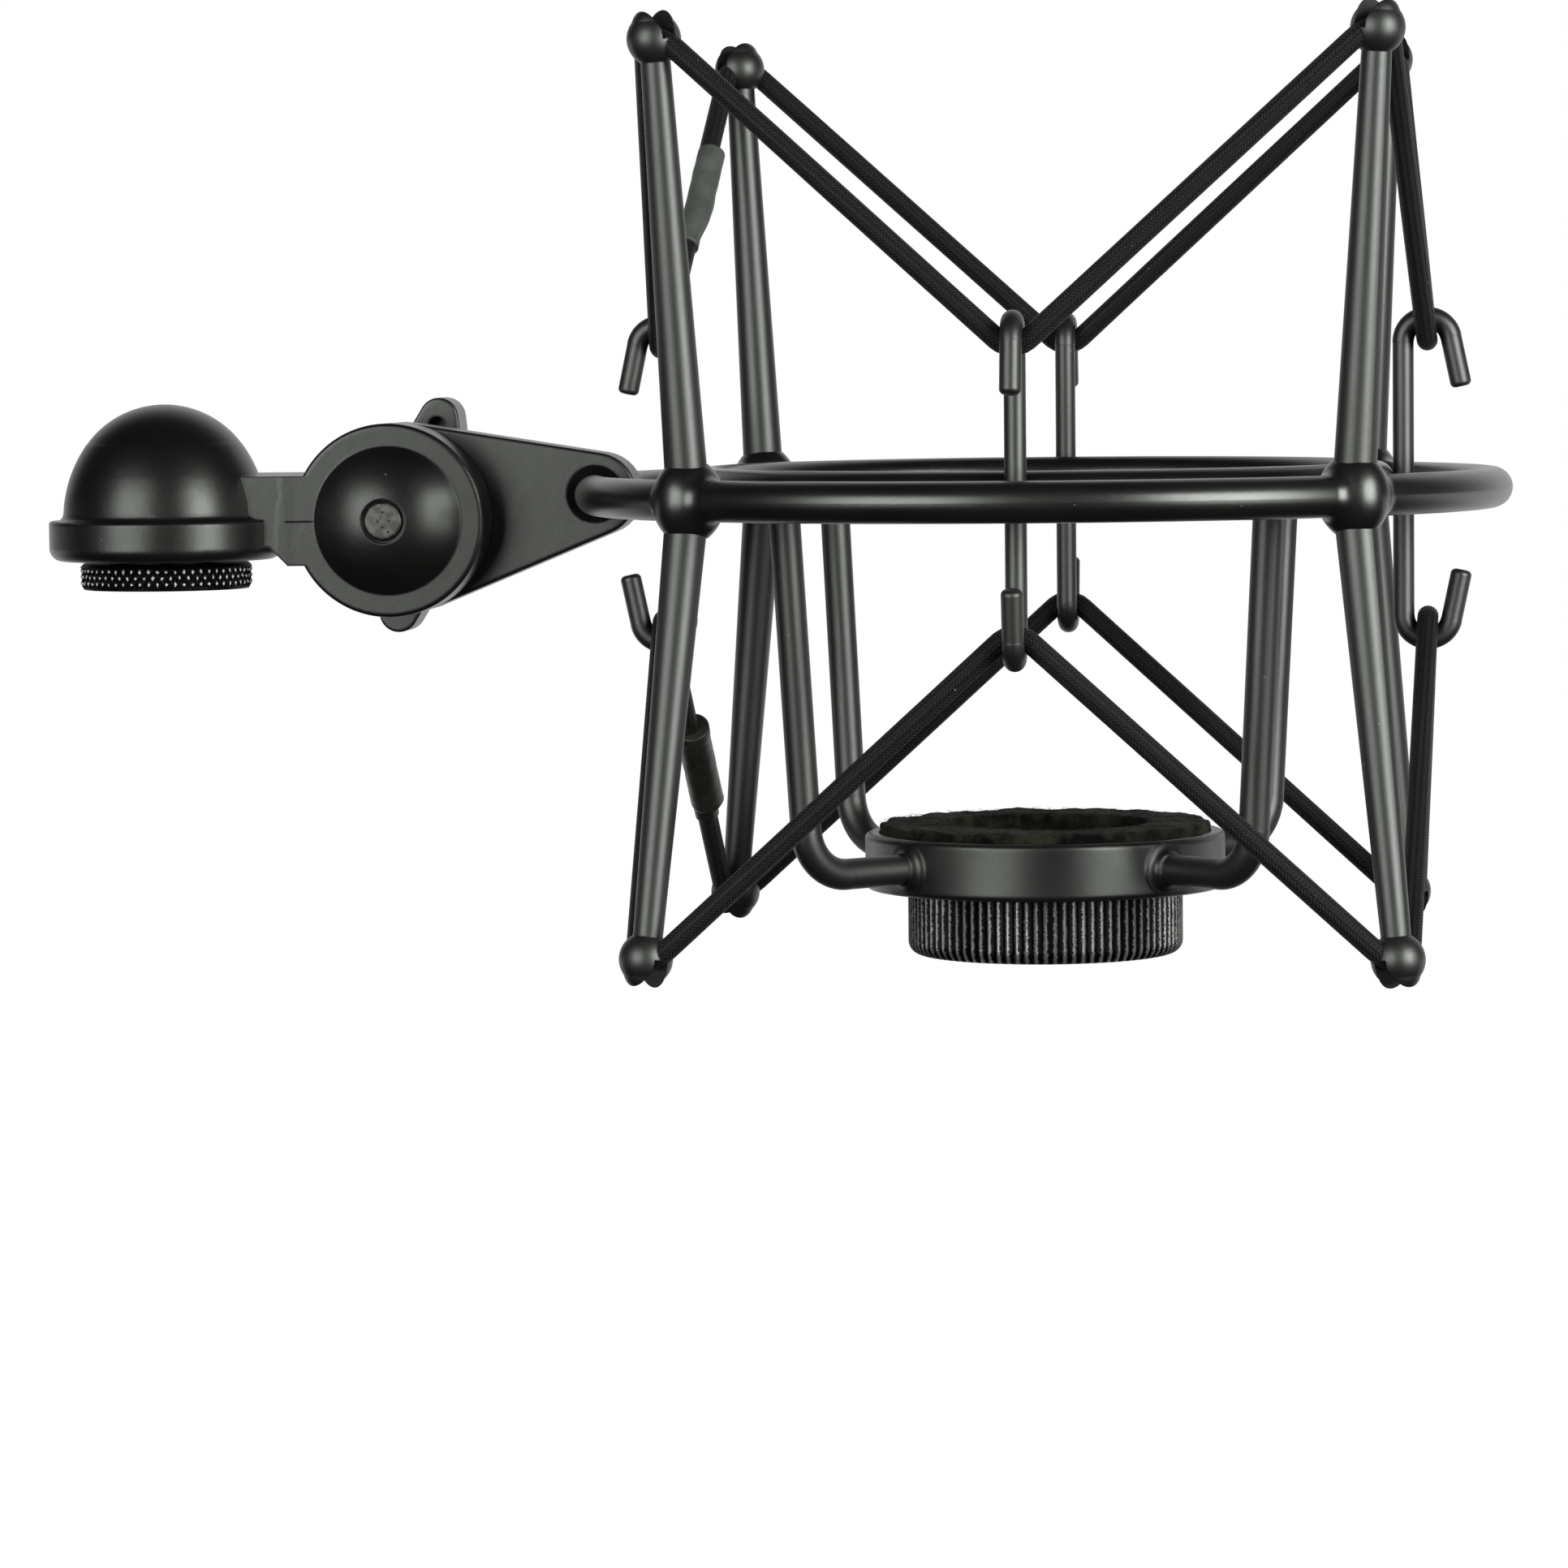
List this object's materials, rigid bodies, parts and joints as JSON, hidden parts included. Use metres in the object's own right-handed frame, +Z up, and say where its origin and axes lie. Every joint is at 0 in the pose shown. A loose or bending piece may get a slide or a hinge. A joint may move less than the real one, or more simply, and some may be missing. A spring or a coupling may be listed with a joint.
{
  "type": "microphone shock mount",
  "caption": "Elastic suspension mount for a studio microphone: swivel stand head, tilting arm, ring with slotted posts, and a wire cradle hung in two elastic loops.",
  "frame": {"origin": "centre of the stand thread at the underside of the knurled flange, on the stand's axis", "axes": "+Z up along the stand, +X from the stand towards the middle of the ring, +Y towards the back (the wing handle's side)"},
  "size_m": [0.2031, 0.1294, 0.1287],
  "materials": {
    "satin_black_paint": "satin",
    "black_steel": "semi-gloss",
    "bare_steel": "dull",
    "fibre": "matte",
    "braided_elastic": "matte braid",
    "shrink_tube": "matte",
    "felt": "fuzzy"
  },
  "bodies": {
    "adapter": {"stand_adapter": "black_steel"},
    "head": {"stand_head": "satin_black_paint", "clamp_screw": "bare_steel", "friction_washer": "fibre"},
    "wing": {"wing_handle": "satin_black_paint", "wing_washer": "bare_steel"},
    "frame": {"tilt_arm": "satin_black_paint", "outer_ring": "satin_black_paint", "ring_ball_back_right": "satin_black_paint", "ring_ball_back_left": "satin_black_paint", "ring_ball_front_left": "satin_black_paint", "ring_ball_front_right": "satin_black_paint", "upper_post_back_right": "satin_black_paint", "upper_post_back_left": "satin_black_paint", "upper_post_front_left": "satin_black_paint", "upper_post_front_right": "satin_black_paint", "lower_post_back_right": "satin_black_paint", "lower_post_back_left": "satin_black_paint", "lower_post_front_left": "satin_black_paint", "lower_post_front_right": "satin_black_paint", "upper_elastic": "braided_elastic", "lower_elastic": "braided_elastic", "upper_sleeve": "shrink_tube", "lower_sleeve": "shrink_tube"},
    "cradle": {"inner_ring": "satin_black_paint", "hook_back": "satin_black_paint", "hook_left": "satin_black_paint", "hook_front": "satin_black_paint", "hook_right": "satin_black_paint", "upright_back_right": "satin_black_paint", "upright_back_left": "satin_black_paint", "upright_front_left": "satin_black_paint", "upright_front_right": "satin_black_paint", "cradle_cup": "satin_black_paint", "felt_pad": "felt"},
    "nut": {"retaining_nut": "black_steel", "nut_retainer": "bare_steel"}
  },
  "joints": [
    {"name": "head_pan", "type": "hinge", "parent": "adapter", "child": "head", "pos_m": [0, 0, 0], "axis": [0, 0, 1], "continuous": true},
    {"name": "tilt", "type": "hinge", "parent": "head", "child": "frame", "pos_m": [0.0324, 0, 0.0094], "axis": [0, -1, 0], "range_deg": [-60, 90]},
    {"name": "wing_turn", "type": "hinge", "parent": "head", "child": "wing", "pos_m": [0.0324, 0.0194, 0.0094], "axis": [0, 1, 0], "range_deg": [0, 180]},
    {"name": "cradle_bounce", "type": "slide", "parent": "frame", "child": "cradle", "axis": [0, 0, 1], "range_m": [-0.005, 0.005], "stiffness_N_per_m": 1200, "springref_m": 0.0016, "deforming": ["upper_elastic", "upper_sleeve", "lower_elastic", "lower_sleeve"]},
    {"name": "nut_turn", "type": "hinge", "parent": "cradle", "child": "nut", "pos_m": [0.1222, 0.007, -0.0517], "axis": [0, 0, 1], "continuous": true}
  ]
}
